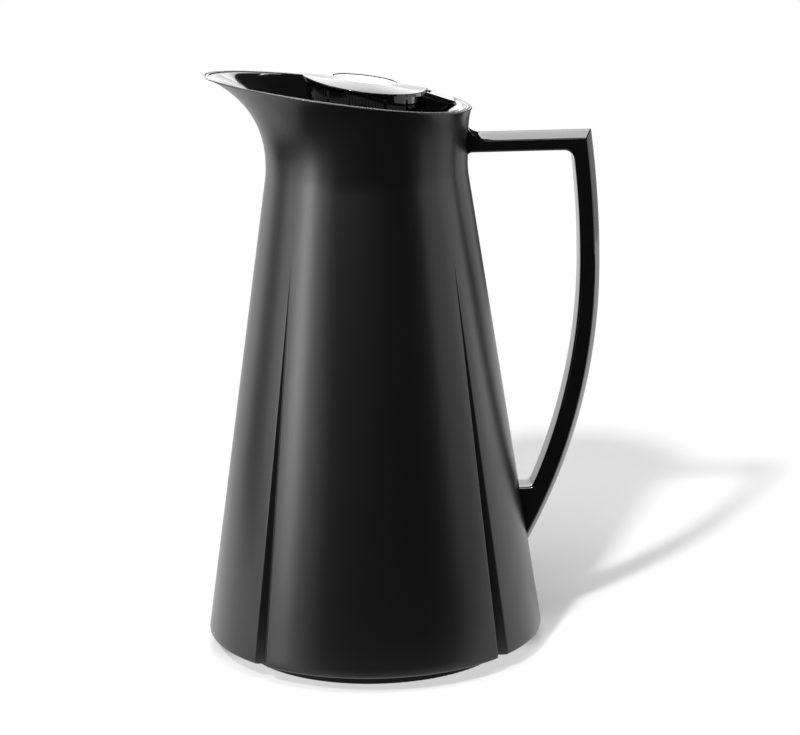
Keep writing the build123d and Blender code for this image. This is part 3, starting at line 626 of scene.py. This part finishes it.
def innerOutline(offset):
    root = body["waistRadius"] - handle["rootInset"]
    low = handle["top"] - handle["barDepth"] + offset
    reach, height = handle["gripReach"], handle["gripHeight"]
    big = handle["gripRadius"] + offset
    centre = (reach - handle["gripRadius"], height)
    gripEnd = (coneRadius(handle["notch"]) + handle["ledge"], handle["notch"])
    small = uprightArcRadius((reach, height), gripEnd) + offset
    lowCentre = (reach + offset - small, height)
    flare = handle["lowerFlare"] + offset
    rootCurve = arcPoints((root + flare, low - flare), flare, math.pi, quarterTurn,
                          handle["rootPoints"])
    bendRadius = handle["cornerRadius"] - offset
    bendHigh = low - bendRadius
    bendAngle = math.asin((bendHigh - height) / (big - bendRadius))
    bendX = centre[0] + (big - bendRadius) * math.cos(bendAngle)
    bar = linePoints(root + flare, bendX, low, handle["barPoints"])[1:]
    bend = arcPoints((bendX, bendHigh), bendRadius, quarterTurn, bendAngle,
                     handle["bendPoints"])[1:-1]
    upper = arcPoints(centre, big, bendAngle, 0, handle["upperPoints"])
    notch = handle["notch"] - offset
    notchRadius = handle["notchRadius"] - offset
    notchHigh = notch + notchRadius
    notchAngle = -math.asin((height - notchHigh) / (small - notchRadius))
    notchX = lowCentre[0] + (small - notchRadius) * math.cos(notchAngle)
    lower = arcPoints(lowCentre, small, 0, notchAngle, handle["innerLowerPoints"])[1:]
    notchBend = arcPoints((notchX, notchHigh), notchRadius, notchAngle, -quarterTurn,
                          handle["notchPoints"])[1:]
    ledgeEnd = coneRadius(handle["notch"]) - handle["rootInset"]
    ledge = linePoints(notchX, ledgeEnd, notch, handle["ledgePoints"])[1:]
    return np.concatenate([rootCurve, bar, bend, upper, lower, notchBend, ledge])


# Each line runs along the whole handle, at its place across and its offset inwards
def makeHandle():
    half = handle["width"] / 2
    soft = handle["ridgeSoftness"]
    side = handle["sideRound"]
    edge = handle["edgeRadius"]
    ridge = handle["ridgeShare"]
    slope = handle["facet"] / half
    flat = half - side
    level = math.hypot(slope * flat, soft) - soft
    facet = np.linspace(ridge, 1, handle["facetPoints"])[1:]
    crown = np.linspace(-ridge, ridge, handle["ridgePoints"])
    across = np.concatenate([-facet[::-1], crown, facet]) * flat
    outers = [(place, math.hypot(slope * place, soft) - soft) for place in across]
    rounds = []
    for turn in np.linspace(0, quarterTurn, handle["sidePoints"])[1:]:
        drop = side * (slope + 1 - math.cos(turn))
        rounds.append((flat + side * math.sin(turn), level + drop))
    outers = [(-place, offset) for place, offset in rounds[::-1]] + outers + rounds
    inners = []
    for turn in np.linspace(0, quarterTurn, handle["edgePoints"]):
        inners.append((half - edge * (1 - math.cos(turn)), edge * (1 - math.sin(turn))))
    grip = np.linspace(half - edge, edge - half, handle["gripPoints"])[1:-1]
    mirrored = [(-place, offset) for place, offset in inners[::-1]]
    inners += [(place, 0.0) for place in grip] + mirrored
    rings = []
    for outline, lines in ((outerOutline, outers), (innerOutline, inners)):
        for place, offset in lines:
            line = outline(offset)
            rings.append(np.stack([line[:, 0], np.full(len(line), place), line[:, 1]], axis=1))
    stations = list(np.stack(rings, axis=1))
    ends = [np.zeros_like(row) + row.mean(axis=0) for row in (stations[0], stations[-1])]
    piece = wrapRows("handleBar", [ends[0], *stations, ends[1]], sharpDegrees=30, flip=True)
    tidyMesh(piece)
    dress(piece, "gloss_black", "jug", "handle")


makeHandle()


# Lid cap: a slanted disc that falls to the front and back, and its thumb tab
cap = {
    "top": 280.3 * mm, "slope": body["slope"], "thickness": 3.3 * mm, "radius": 29.7 * mm,
    "fall": (2.2 * mm, 0.45 * mm), "ease": 0.05, "endShare": 0.25, "bore": 15.2 * mm,
    "boreRound": 0.25 * mm, "edgeRound": 0.35 * mm, "edgeStart": 0.5,
    "spigot": (25.2 * mm, 23.2 * mm, 6.0 * mm), "sleeve": (17.0 * mm, 13.0 * mm),
    "columns": 240, "topRows": 40, "boreRoundRows": 4, "edgeRows": 5}
tab = {
    "start": 19.5 * mm, "tip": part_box("lid_cap")[1].x, "width": 20.0 * mm, "dip": 5.0 * mm,
    "bend": 1.25, "corner": 4.0 * mm, "round": 1.6 * mm, "undercut": 4.8 * mm,
    "endHeight": 4.6 * mm, "depth": 12.0 * mm, "drum": 26.5 * mm, "hollow": 0.3 * mm,
    "hollowPlace": 35.5 * mm, "hollowSize": 5.5 * mm, "sink": 0.02 * mm, "heel": 33.0 * mm,
    "topInsets": (0.985, 0.8, 0.6, 0.45, 0.3), "footSteps": ((0.5, 0.0), (0.96, 0.0), (1.0, 0.05)),
    "cornerPoints": 9, "sidePoints": 26, "endPoints": 15, "roundRows": 9, "endRows": 7}


def smooth(values, low, high):
    step = np.clip((values - low) / (high - low), 0, 1)
    return step * step * (3 - 2 * step)


def capLevel(x):
    return cap["top"] - cap["slope"] * x


def capDrop(radius):
    along = max(0.0, (radius - cap["bore"]) / (cap["radius"] - cap["bore"]))
    return cap["fall"][0] * along + cap["fall"][1] * along**2


def slantRow(angles, radius, drop, fall=0.0):
    across = radius * np.cos(angles)
    share = np.sin(angles) ** 2 / np.sqrt(np.sin(angles) ** 2 + cap["ease"])
    share = cap["endShare"] + (1 - cap["endShare"]) * share
    height = capLevel(across) - drop - fall * share
    return np.stack([across, radius * np.sin(angles), height], axis=1)


# The disc's section as radius, drop and dome, with the spigot and the sleeve under it
def capRows():
    small, edge = cap["boreRound"], cap["edgeRound"]
    start = cap["bore"] + small
    stop = cap["radius"] - edge
    line = []
    for turn in np.linspace(quarterTurn, 0, cap["boreRoundRows"]):
        line.append((start - small * math.sin(turn), small * (1 - math.cos(turn))))
    for radius in np.linspace(start, stop, cap["topRows"])[1:]:
        line.append((radius, 0.0, capDrop(radius)))
    for turn in np.linspace(cap["edgeStart"], quarterTurn, cap["edgeRows"]):
        line.append((stop + edge * math.sin(turn), edge * (1 - math.cos(turn)), capDrop(stop)))
    flat = cap["thickness"]
    wide, narrow, deep = cap["spigot"]
    sleeve, long = cap["sleeve"]
    line += [(cap["radius"], flat), (wide, flat), (wide, flat + deep), (narrow, flat + deep),
             (narrow, flat), (sleeve, flat), (sleeve, flat + long), (cap["bore"], flat + long)]
    angles = np.linspace(0, 2 * math.pi, cap["columns"], endpoint=False)
    return [slantRow(angles, *place) for place in line]


# The tab from above: two sides, a rounded end, and an inner side hidden in the disc or the drum
def tabOutline(innerRadius):
    half = tab["width"] / 2
    corner = tab["corner"]
    sideEnd = tab["tip"] - corner
    sideStart = math.sqrt(innerRadius**2 - half**2)
    bend = arcPoints((sideEnd, corner - half), corner, -quarterTurn, 0, tab["cornerPoints"])
    side = linePoints(sideStart, sideEnd, -half, tab["sidePoints"])[:-1]
    lower = np.concatenate([side, bend])
    endEdge = linePoints(corner - half, half - corner, tab["tip"], tab["endPoints"])[1:-1, ::-1]
    inner = np.linspace(-half, half, tab["endPoints"])[1:-1]
    back = np.stack([np.sqrt(innerRadius**2 - inner**2), inner], axis=1)[::-1]
    return np.concatenate([lower, endEdge, lower[::-1] * (1, -1), back])


def tabTop(x, y):
    along = np.clip((x - cap["bore"]) / (tab["tip"] - cap["bore"]), 0, None)
    dip = tab["dip"] * along ** tab["bend"]
    spot = ((x - tab["hollowPlace"]) ** 2 + y**2) / tab["hollowSize"] ** 2
    return capLevel(x) - dip - tab["hollow"] * np.exp(-spot) - tab["sink"]


# Every point of a row drawn to one place on the tab's middle line, which closes the mesh
def tabPole(row, x):
    return row * (0, 0, 1) + (x, 0, 0)


def tabRows():
    top = tabOutline(tab["start"])
    low = tabOutline(tab["drum"])
    half = tab["width"] / 2
    middle = (tab["start"] + tab["tip"]) / 2
    halfLength = (tab["tip"] - tab["start"]) / 2
    soft = tab["round"]
    insets = [(half * step, 0.0) for step in tab["topInsets"]]
    for turn in np.linspace(0, quarterTurn, tab["roundRows"]):
        insets.append((soft * (1 - math.sin(turn)), soft * (1 - math.cos(turn))))
    rows = []
    for inset, drop in insets:
        x = middle + (top[:, 0] - middle) * (1 - inset / halfLength)
        y = top[:, 1] * (1 - inset / half)
        rows.append(np.stack([x, y, tabTop(x, y) - drop], axis=1))
    edge = rows[-1]
    tipFall = tab["endHeight"] - soft
    foot = capLevel(tab["tip"] - tab["undercut"]) - cap["thickness"] - tab["depth"]
    for step in np.linspace(0, 1, tab["endRows"])[1:]:
        outline = top + (low - top) * step
        pull = tab["undercut"] * step * smooth(outline[:, 0], tab["drum"], tab["tip"])
        height = edge[:, 2] - tipFall * step
        rows.append(np.stack([outline[:, 0] - pull, outline[:, 1], height], axis=1))
    end = rows[-1]
    for step, shrink in tab["footSteps"]:
        lowered = end.copy()
        lowered[:, 2] += (foot - end[:, 2]) * step
        lowered[:, :2] -= (lowered[:, :2] - (tab["heel"], 0.0)) * shrink
        rows.append(lowered)
    return [tabPole(rows[0], middle), *rows, tabPole(rows[-1], tab["heel"])]


def makeCap():
    disc = wrapRows("capSkin", capRows(), closeRows=True, sharpDegrees=32)
    tongue = wrapRows("thumbTab", tabRows(), sharpDegrees=40, flip=True)
    for piece in (disc, tongue):
        tidyMesh(piece)
    dress(disc, "gloss_black", "lid", "lid_cap")
    dress(tongue, "gloss_black", "lid")


makeCap()


# Geometry Nodes: a tree with named sizes, and the plain mesh that it grows
def newTree(name, sizes):
    tree = bpy.data.node_groups.new(name, "GeometryNodeTree")
    for label, value in sizes.items():
        kind = "NodeSocketInt" if isinstance(value, int) else "NodeSocketFloat"
        tree.interface.new_socket(label, in_out="INPUT", socket_type=kind)
    tree.interface.new_socket("Geometry", in_out="OUTPUT", socket_type="NodeSocketGeometry")
    source = Wire(tree).node("NodeGroupInput")
    return {label: source.other(label) for label in sizes}


def lifted(shape, height):
    lift = shape.node("ShaderNodeCombineXYZ", None, {"Z": height})
    return shape.node("GeometryNodeTransform", None, {"Geometry": shape, "Translation": lift})


def grow(name, sizes, shape, material, sharpDegrees=35.0):
    whole = shape.node("GeometryNodeRealizeInstances", None, {0: shape})
    coloured = whole.node("GeometryNodeSetMaterial", None, {0: whole, "Material": material})
    coloured.node("NodeGroupOutput", None, {0: coloured})
    holder = addObject(name + "Tree", bpy.data.meshes.new(name + "Tree"))
    modifier = holder.modifiers.new(name, "NODES")
    modifier.node_group = shape.tree
    for item in shape.tree.interface.items_tree:
        if item.in_out == "INPUT":
            modifier[item.identifier] = sizes[item.name]
    ready = holder.evaluated_get(bpy.context.evaluated_depsgraph_get())
    mesh = bpy.data.meshes.new_from_object(ready)
    mesh.name = name
    shade(mesh, sharpDegrees)
    bpy.data.objects.remove(holder)
    return addObject(name, mesh)


# Stopper: the CAD's own form with a slimmer plug, and four thread ridges that wind round it
stopper = {"plug": 24.7 * mm, "near": 0.02 * mm, "core": 23.5 * mm}
thread = {
    "Ridge Radius": 23.9 * mm, "Ridge Depth": 1.5 * mm, "Ridge Width": 2.6 * mm,
    "Crest Share": 0.4, "End Slope": 9.0, "Starts": 4, "Steps": 160, "Sweep": 0.24,
    "Rise": 4.0 * mm, "Low": 242.6 * mm}


# A merged copy of a CAD node with its points moved
def reshape(name, nodeName, change, sharpDegrees=30.0):
    mesh = nodes[nodeName].data.copy()
    mesh.name = name
    work = bmesh.new()
    work.from_mesh(mesh)
    bmesh.ops.remove_doubles(work, verts=work.verts, dist=weld)
    for corner in work.verts:
        change(corner.co)
    work.to_mesh(mesh)
    work.free()
    mesh.materials.clear()
    shade(mesh, sharpDegrees)
    return addObject(name, mesh)


def slimPlug(point):
    reach = math.hypot(point.x, point.y)
    if abs(reach - stopper["plug"]) < stopper["near"]:
        point.xy *= stopper["core"] / reach


def makeStopper():
    core = reshape("stopperCore", "stopper_body", slimPlug)
    dress(core, "gloss_black", "lid", "stopper_body")


def makeThread():
    size = newTree("threadRidges", thread)
    first = size["Starts"]
    helix = first.node("GeometryNodeCurveSpiral", None, {
        "Resolution": size["Steps"], "Rotations": size["Sweep"], "Height": size["Rise"],
        "Start Radius": size["Ridge Radius"], "End Radius": size["Ridge Radius"]})
    upright = first.node("GeometryNodeSetCurveNormal", {"mode": "Z_UP"}, {0: helix})
    along = first.node("GeometryNodeSplineParameter")
    rise = along * size["End Slope"]
    ends = first.maths("MINIMUM", rise, size["End Slope"] - rise)
    swell = first.maths("MINIMUM", ends, 1.0)
    tapered = first.node("GeometryNodeSetCurveRadius", None, {"Curve": upright, "Radius": swell})
    outline = first.node("GeometryNodeCurvePrimitiveQuadrilateral", {"mode": "TRAPEZOID"}, {
        "Height": size["Ridge Depth"], "Bottom Width": size["Ridge Width"],
        "Top Width": size["Ridge Width"] * size["Crest Share"], "Offset": 0.0})
    stood = first.node("GeometryNodeTransform", None, {
        "Geometry": outline, "Rotation": (0.0, 0.0, quarterTurn)})
    ridge = first.node("GeometryNodeCurveToMesh", None, {
        "Curve": tapered, "Profile Curve": stood, "Fill Caps": True})
    places = first.node("GeometryNodePoints", None, {"Count": size["Starts"]})
    index = first.node("GeometryNodeInputIndex")
    turn = first.node("ShaderNodeCombineXYZ", None, {"Z": index * (2 * math.pi) / size["Starts"]})
    ring = first.node("GeometryNodeInstanceOnPoints", None, {
        "Points": places, "Instance": ridge, "Rotation": turn})
    piece = grow("threadRidges", thread, lifted(ring, size["Low"]), finishes["gloss_black"])
    dress(piece, "gloss_black", "lid")


makeStopper()
makeThread()


# Base screws: countersunk heads with a cross recess, from one screw set at four places
screws = {
    "Circle": 71.0 * mm, "Count": 4, "Head Radius": 3.2 * mm, "Head Taper": 0.72,
    "Head Depth": 2.0 * mm, "Head Sides": 40, "Shaft Radius": 1.5 * mm,
    "Shaft Length": 15.0 * mm, "Shaft Sides": 24, "Seat": 8.5 * mm, "Slot Width": 0.9 * mm,
    "Slot Length": 3.6 * mm, "Slot Depth": 1.2 * mm}


def makeBaseScrews():
    size = newTree("baseScrews", screws)
    first = size["Count"]
    below = 0 - size["Head Depth"]
    head = first.node("GeometryNodeMeshCone", None, {
        "Vertices": size["Head Sides"], "Side Segments": 1, "Fill Segments": 1,
        "Radius Bottom": size["Head Radius"] * size["Head Taper"],
        "Radius Top": size["Head Radius"], "Depth": size["Head Depth"]})
    shaft = first.node("GeometryNodeMeshCylinder", None, {
        "Vertices": size["Shaft Sides"], "Radius": size["Shaft Radius"],
        "Depth": size["Shaft Length"]})
    cut = lifted(head, below)
    cutting = {"operation": "DIFFERENCE", "solver": "EXACT"}
    for long, wide in (("Slot Length", "Slot Width"), ("Slot Width", "Slot Length")):
        sides = first.node("ShaderNodeCombineXYZ", None, {
            "X": size[long], "Y": size[wide], "Z": size["Slot Depth"] * 2.0})
        slot = lifted(first.node("GeometryNodeMeshCube", None, {"Size": sides}), below)
        cut = first.node("GeometryNodeMeshBoolean", cutting, {"Mesh 1": cut, "Mesh 2": slot})
    screw = first.node("GeometryNodeJoinGeometry", None, {0: cut})
    standing = lifted(shaft, size["Shaft Length"] / 2.0)
    first.tree.links.new(standing.socket, screw.socket.node.inputs[0])
    places = first.node("GeometryNodeMeshCircle", None, {
        "Vertices": size["Count"], "Radius": size["Circle"]})
    ring = first.node("GeometryNodeInstanceOnPoints", None, {"Points": places, "Instance": screw})
    piece = grow("baseScrewHeads", screws, lifted(ring, size["Seat"]), finishes["steel"])
    dress(piece, "steel", "jug", "base_screws")


makeBaseScrews()


# Return spring: a coil that stands on the stopper's deck
springLow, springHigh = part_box("return_spring")
spring = {
    "Coil Radius": 8.2 * mm, "Wire Radius": 0.55 * mm, "Wire Sides": 14, "Turns": 5.0,
    "Steps": 36, "Low": springLow.z, "High": springHigh.z}


def makeSpring():
    size = newTree("returnCoil", spring)
    first = size["Turns"]
    rise = size["High"] - size["Low"] - size["Wire Radius"] * 2.0
    coil = first.node("GeometryNodeCurveSpiral", None, {
        "Resolution": size["Steps"], "Rotations": size["Turns"], "Height": rise,
        "Start Radius": size["Coil Radius"], "End Radius": size["Coil Radius"]})
    wire = first.node("GeometryNodeCurvePrimitiveCircle", None, {
        "Resolution": size["Wire Sides"], "Radius": size["Wire Radius"]})
    drawn = first.node("GeometryNodeCurveToMesh", None, {
        "Curve": coil, "Profile Curve": wire, "Fill Caps": True})
    raised = lifted(drawn, size["Low"] + size["Wire Radius"])
    piece = grow("returnCoil", spring, raised, finishes["steel"], 60.0)
    dress(piece, "steel", "lid", "return_spring")
    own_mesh(piece)


makeSpring()


# Stopper gasket: a soft ring with two sealing lips
gasket = {
    "inner": 18.6 * mm, "outer": 24.6 * mm, "low": 235.35 * mm, "high": 237.25 * mm,
    "lip": 0.5 * mm, "waist": 23.9 * mm, "columns": 128, "lipPoints": 9}


def makeGasket():
    angles = np.linspace(0, 2 * math.pi, gasket["columns"], endpoint=False)
    low, high, lip = gasket["low"], gasket["high"], gasket["lip"]
    inner, lipRadius = gasket["inner"], gasket["outer"] - lip
    line = [(inner, low + lip / 2), (inner + lip / 2, low), (lipRadius, low)]
    line += list(arcPoints((lipRadius, low + lip), lip, -quarterTurn, quarterTurn,
                           gasket["lipPoints"]))
    line.append((gasket["waist"], (low + high) / 2))
    line += list(arcPoints((lipRadius, high - lip), lip, -quarterTurn, quarterTurn,
                           gasket["lipPoints"]))
    line += [(inner + lip / 2, high), (inner, high - lip / 2)]
    rows = [levelRow(angles, radius, height) for radius, height in line]
    piece = wrapRows("stopperGasketLips", rows, closeRows=True, sharpDegrees=60)
    dress(piece, "clear_silicone", "lid_seal", "stopper_gasket")


makeGasket()


# Camera at the photograph's place, which sees the jug turned a little
view = {
    "turn": 2.75, "distance": 1.264, "height": 0.4482, "pitch": 13.754, "yaw": 0.649,
    "roll": 0.951, "lens": 120.13, "sensor": 36.0, "near": 0.05}


def around(azimuth, distance, height):
    turn = math.radians(azimuth - view["turn"])
    return Vector((distance * math.sin(turn), -distance * math.cos(turn), height))


def makeCamera():
    camera = bpy.data.cameras.new("photoCamera")
    camera.lens = view["lens"]
    camera.sensor_width = view["sensor"]
    camera.clip_start = view["near"]
    viewer = addObject("photoCamera", camera)
    viewer.location = around(0, view["distance"], view["height"])
    tilt = quarterTurn - math.radians(view["pitch"])
    aimed = Euler((tilt, 0.0, -math.radians(view["yaw"] + view["turn"])))
    levelled = Euler((0.0, 0.0, -math.radians(view["roll"])))
    viewer.rotation_euler = (aimed.to_matrix() @ levelled.to_matrix()).to_euler()
    bpy.context.scene.camera = viewer


makeCamera()


# Studio lamps, by their azimuth from the camera's side: upright ones to the left and right, boxes
# above, a small key, and three cards behind that show only in the gloss
sides = {"distance": 1.15, "height": 0.35, "tall": 0.75}
aim = Vector((0.0, 0.0, 0.14))


def boxLamp(azimuth, distance, height, size, glow, glossOnly=False):
    return {"azimuth": azimuth, "distance": distance, "height": height, "size": size,
            "glow": glow, "glossOnly": glossOnly}


def sideLamp(azimuth, width, glow):
    return boxLamp(azimuth, sides["distance"], sides["height"], (width, sides["tall"]), glow)


studio = {
    "leftFront": sideLamp(-50, 0.35, 1.2),
    "leftStrip": sideLamp(-66, 0.25, 9.2),
    "leftBox": sideLamp(-85, 0.55, 2.5),
    "leftBack": sideLamp(-120, 0.85, 0.43),
    "rightFront": sideLamp(70, 0.4, 1.15),
    "rightBox": sideLamp(92, 0.4, 1.4),
    "rightStrip": sideLamp(114, 0.4, 2.7),
    "rightBack": sideLamp(138, 0.45, 0.6),
    "frontTop": boxLamp(0, 0.9, 1.75, (1.3, 0.7), 7.5),
    "backTop": boxLamp(173, 1.1, 1.75, (0.75, 0.75), 6.0),
    "keyBox": boxLamp(-23.1, 1.78, 1.65, (0.16, 0.16), 600.0),
    "lowCard": boxLamp(-178.5, 3.0, 0.67, (1.33, 1.0), 1.0, glossOnly=True),
    "highCard": boxLamp(-178.5, 3.0, 1.82, (1.3, 1.3), 2.2, glossOnly=True),
    "cornerCard": boxLamp(-151, 1.6, 0.75, (0.9, 0.75), 5.0, glossOnly=True),
}


def makeLamp(name, setup):
    lamp = bpy.data.lights.new(name, "AREA")
    lamp.shape = "RECTANGLE"
    lamp.size, lamp.size_y = setup["size"]
    lamp.energy = setup["glow"] * math.pi * lamp.size * lamp.size_y
    holder = addObject(name, lamp)
    holder.location = around(setup["azimuth"], setup["distance"], setup["height"])
    holder.rotation_euler = (aim - holder.location).to_track_quat("-Z", "Y").to_euler()
    holder.visible_camera = False
    holder.visible_diffuse = not setup["glossOnly"]


for name, setup in studio.items():
    makeLamp(name, setup)


# White paper under the jug, which glows by itself far off, and in front of the foot glows in part
# as painted light that lightens the shadow under the shell's overhang
paper = {
    "front": -0.13, "left": -0.55, "right": 0.85, "back": 0.9, "white": 0.8, "glow": 1.0,
    "clear": 0.42, "blend": 0.12, "frontFrom": 0.01, "frontTo": -0.03, "frontShadowLift": 0.6}


def smoothStep(value, low, high, top=1.0):
    return value.node("ShaderNodeMapRange", {"interpolation_type": "SMOOTHSTEP"}, {
        "Value": value, "From Min": low, "From Max": high, "To Max": top})


def makePaper():
    left, right, front, back = (paper[side] for side in ("left", "right", "front", "back"))
    corners = [(left, front, 0.0), (right, front, 0.0), (right, back, 0.0), (left, back, 0.0)]
    mesh = bpy.data.meshes.new("paperSheet")
    mesh.from_pydata(corners, [], [(0, 1, 2, 3)])
    sheet = addObject("paperSheet", mesh)
    material = bpy.data.materials.new("whitePaper")
    material.use_nodes = True
    tree = material.node_tree
    tree.nodes.clear()
    place = Wire(tree).node("ShaderNodeTexCoord", output="Object")
    far = place.node("ShaderNodeVectorMath", {"operation": "LENGTH"}, {0: place}, "Value")
    fade = smoothStep(far, paper["clear"], paper["clear"] + paper["blend"])
    along = place.node("ShaderNodeSeparateXYZ", None, {0: place}, "Y")
    # Painted light: in front of the foot the paper glows in part, which lightens the shadow under
    # the shell's overhang
    near = smoothStep(along, paper["frontFrom"], paper["frontTo"], paper["frontShadowLift"])
    share = fade.maths("MAXIMUM", fade, near)
    matt = place.node("ShaderNodeBsdfDiffuse", None, {"Color": (paper["white"],) * 3 + (1.0,)})
    glow = place.node("ShaderNodeEmission", None, {"Strength": paper["glow"]})
    both = place.node("ShaderNodeMixShader", None, {0: share, 1: matt, 2: glow})
    both.node("ShaderNodeOutputMaterial", None, {"Surface": both})
    mesh.materials.append(material)


makePaper()


# The air beyond is white to the camera, and to gloss and clear material only behind the jug
backdrop = {"azimuth": -158, "rise": 5, "white": 33, "dark": 38, "ambient": 0.04}


def makeAir():
    world = bpy.data.worlds.new("studioAir")
    bpy.context.scene.world = world
    world.use_nodes = True
    air = world.node_tree
    direction = Wire(air).node("ShaderNodeTexCoord", output="Generated")
    rise = math.tan(math.radians(backdrop["rise"]))
    middle = around(backdrop["azimuth"], 1.0, rise).normalized()
    near = direction.node("ShaderNodeVectorMath", {"operation": "DOT_PRODUCT"}, {
        0: direction, 1: middle}, "Value")
    edges = [math.cos(math.radians(backdrop[edge])) for edge in ("dark", "white")]
    behind = smoothStep(near, *edges)
    camera = direction.node("ShaderNodeLightPath", output="Is Camera Ray")
    mirrored = camera.other("Is Glossy Ray") + camera.other("Is Transmission Ray")
    seen = camera.maths("MINIMUM", camera + mirrored * behind, 1.0)
    strength = backdrop["ambient"] + seen * (1.0 - backdrop["ambient"])
    background = air.nodes["Background"]
    background.inputs["Color"].default_value = (1.0, 1.0, 1.0, 1.0)
    air.links.new(strength.socket, background.inputs["Strength"])


makeAir()

bpy.context.scene.view_settings.view_transform = "Standard"
print("studio ready")
